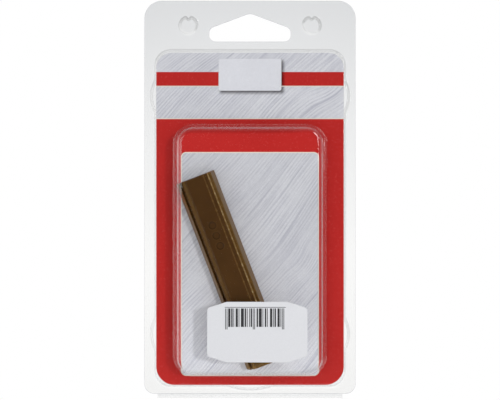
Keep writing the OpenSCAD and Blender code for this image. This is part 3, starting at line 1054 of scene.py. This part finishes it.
def shells():
    """The cover, the back and the hinge, all of one film. The list's order is that of the film's zones."""
    film = [
        film_material("clear_film", tint=0.975, mirror=1.0, bright=0.0),
        film_edge_material(),
        film_material("film_bend", tint=0.975, mirror=1.0, bright=0.17),
        film_material("film_low", tint=0.78, mirror=0.35, bright=0.05),
        film_material("film_stud", tint=0.6, mirror=0.7, bright=0.12),
    ]
    cover = Mesh()
    foot, face = SHEET / 2 + FLANGE_GAP, PANEL_RISE - SHEET / 2
    panel = wall_profile(foot, face, 0, 0, PANEL_DRAFT, cove_r=0.7, edge_r=PANEL_EDGE_R - SHEET / 2)
    caps = wall_profile(
        foot, SHEET / 2 + STUD_RISE, 0, SHEET, STUD_DRAFT, cove_r=0.35, edge_r=0.5, run_in=0.1, run_out=0.2
    )
    dome = wall_profile(
        face, face + DOME_DEPTH, 0, PANEL_RISE, DOME_DRAFT, cove_r=0.9, edge_r=DOME_EDGE_R - SHEET / 2
    )
    film_shell(cover, FLANGE_GAP, panel, caps, dome)
    cover.piece("cover_film", film, "cover", "clear_film", "cover_blister", sharp=30.0)
    back = Mesh()
    foot, face = -SHEET / 2, -card_high.y - PLUG_GAP - SHEET / 2
    plug = wall_profile(foot, face, PANEL_WALL + NEST_GAP, 0, PANEL_DRAFT, cove_r=1.1, edge_r=0.4)
    studs = wall_profile(
        foot, STUD_RISE - NEST_GAP - SHEET / 2, STUD_WALL + NEST_GAP, SHEET, STUD_DRAFT,
        cove_r=0.75, edge_r=0.35, run_in=0.1, run_out=0.2,
    )
    film_shell(back, -SHEET, plug, studs)
    back.piece("back_film", film, "back", "clear_film", "back_shell", sharp=30.0)
    hinge(film)


# The room

CAMERA_OUT = 0.400
CAMERA_Z = -0.0740
LENS = 72.36
FLOOR_Z = -0.335
AMBIENT = 0.82
KEY_DIRECTION = (0.46, -1.0, 0.144)
LAMP_FAR = 1.5
KEY_SIZE = (0.12, 0.15)
KEY_POWER = 5.0
# Lights that show in gloss only: direction, cosines at their faded and full edge, strength
SOFTBOXES = [
    ((-0.62, -0.78, 0.05), 0.900, 0.955, 2.5),
    ((0.4145, -0.901, 0.1297), 0.9930, 0.9975, 11.0),
    ((0.59, -0.636, 0.50), 0.962, 0.985, 8.0),
]


def camera():
    data = bpy.data.cameras.new("camera")
    data.sensor_width, data.lens = 36.0, LENS
    obj = bpy.data.objects.new("camera", data)
    obj.location = (0, -CAMERA_OUT, CAMERA_Z)
    obj.rotation_euler = (math.radians(90), 0, 0)
    bpy.context.scene.collection.objects.link(obj)
    bpy.context.scene.camera = obj


def lamp():
    """Small soft key from the right. Its glints come from the room's softboxes, which don't sparkle."""
    data = bpy.data.lights.new("key", "AREA")
    data.shape, data.energy = "RECTANGLE", KEY_POWER
    data.size, data.size_y = KEY_SIZE
    obj = bpy.data.objects.new("key", data)
    aim = Vector((0, 0, -0.08))
    obj.location = aim + Vector(KEY_DIRECTION).normalized() * LAMP_FAR
    obj.rotation_euler = (aim - obj.location).to_track_quat("-Z", "Y").to_euler()
    obj.visible_glossy = obj.visible_transmission = False
    bpy.context.scene.collection.objects.link(obj)


def world():
    """White to the camera. Gloss sees a white backdrop and a room that is dimmer in front, on the right and
    above, also through the film, and bare gloss sees the softboxes too. Straight through the film the
    backdrop is a little dimmer at its top."""
    w = bpy.data.worlds.new("room")
    w.use_nodes = True
    t = w.node_tree
    t.nodes.clear()
    sight = make(t, "ShaderNodeTexCoord").outputs["Generated"]
    way = make(t, "ShaderNodeSeparateXYZ", {0: sight})
    path = make(t, "ShaderNodeLightPath")
    glossy = ranged(t, way.outputs[1], -0.92, -0.10, 0.03, 1.0, soft=True)
    boxes = 0.0
    for direction, faded, full, much in SOFTBOXES:
        near = vectors(t, "DOT_PRODUCT", sight, direction, out="Value")
        boxes = maths(t, "ADD", ranged(t, near, faded, full, 0.0, much, soft=True), boxes)
    right = ranged(t, way.outputs[0], 0.15, 0.5, 1.0, 0.45, soft=True)
    above = ranged(t, way.outputs[2], 0.15, 0.5, 1.0, 0.3, soft=True)
    sides = maths(t, "MULTIPLY", right, above)
    passed = maths(t, "MINIMUM", path.outputs["Transmission Depth"], 1.0)
    boxes = maths(t, "MULTIPLY", boxes, maths(t, "SUBTRACT", 1.0, passed))
    shiny = maths(t, "MULTIPLY_ADD", glossy, sides, boxes)
    height = ranged(t, way.outputs[2], -0.06, 0.19)
    backdrop = mixed(t, height, (1.0, 0.997, 0.985, 1), (0.805, 0.812, 0.82, 1))
    strength = mixed(t, path.outputs["Is Transmission Ray"], (AMBIENT, AMBIENT, AMBIENT, 1), backdrop)
    mirrored = maths(t, "MINIMUM", path.outputs["Glossy Depth"], 1.0)
    mirrored = maths(t, "MULTIPLY", mirrored, maths(t, "SUBTRACT", 1.0, path.outputs["Is Diffuse Ray"]))
    strength = mixed(t, mirrored, strength, shiny)
    strength = mixed(t, path.outputs["Is Camera Ray"], strength, (1, 1, 1, 1))
    back = make(t, "ShaderNodeBackground", {"Color": strength})
    make(t, "ShaderNodeOutputWorld", {"Surface": back.outputs[0]})
    bpy.context.scene.world = w


def floor():
    """Pale round floor that runs out into the white of the room."""
    radius, rings, spokes = 0.9, 24, 96
    angles = np.linspace(0, 2 * math.pi, spokes, False)
    points, faces = [(0, 0, FLOOR_Z)], []
    for k in range(1, rings + 1):
        r = radius * k / rings
        points += [(r * math.cos(a), r * math.sin(a), FLOOR_Z) for a in angles]
    for i in range(spokes):
        j = (i + 1) % spokes
        faces.append((0, 1 + i, 1 + j))
        for k in range(rings - 1):
            a, b = 1 + k * spokes, 1 + (k + 1) * spokes
            faces.append((a + i, b + i, b + j, a + j))
    data = bpy.data.meshes.new("floor")
    data.from_pydata(points, [], faces)
    obj = bpy.data.objects.new("floor", data)
    bpy.context.scene.collection.objects.link(obj)
    m, t = new_material("floor")
    at = make(t, "ShaderNodeTexCoord").outputs["Object"]
    away = vectors(t, "LENGTH", vectors(t, "MULTIPLY", at, (1, 1, 0)), out="Value")
    pale = make(t, "ShaderNodeBsdfDiffuse", {"Color": (0.94, 0.94, 0.94, 1)}).outputs[0]
    white = make(t, "ShaderNodeEmission", {"Color": (1, 1, 1, 1), "Strength": 1.0}).outputs[0]
    path = make(t, "ShaderNodeLightPath")
    seen = maths(t, "MAXIMUM", path.outputs["Is Camera Ray"], path.outputs["Is Transmission Ray"])
    share = maths(t, "MULTIPLY", ranged(t, away, 0.22, 0.75, 0.55, 1.0, soft=True), seen)
    finish_material(t, make(t, "ShaderNodeMixShader", {0: share, 1: pale, 2: white}).outputs[0])
    data.materials.append(m)


shells()
card()
wax()
label()
camera()
lamp()
world()
floor()
bpy.context.scene.view_settings.view_transform = "Standard"
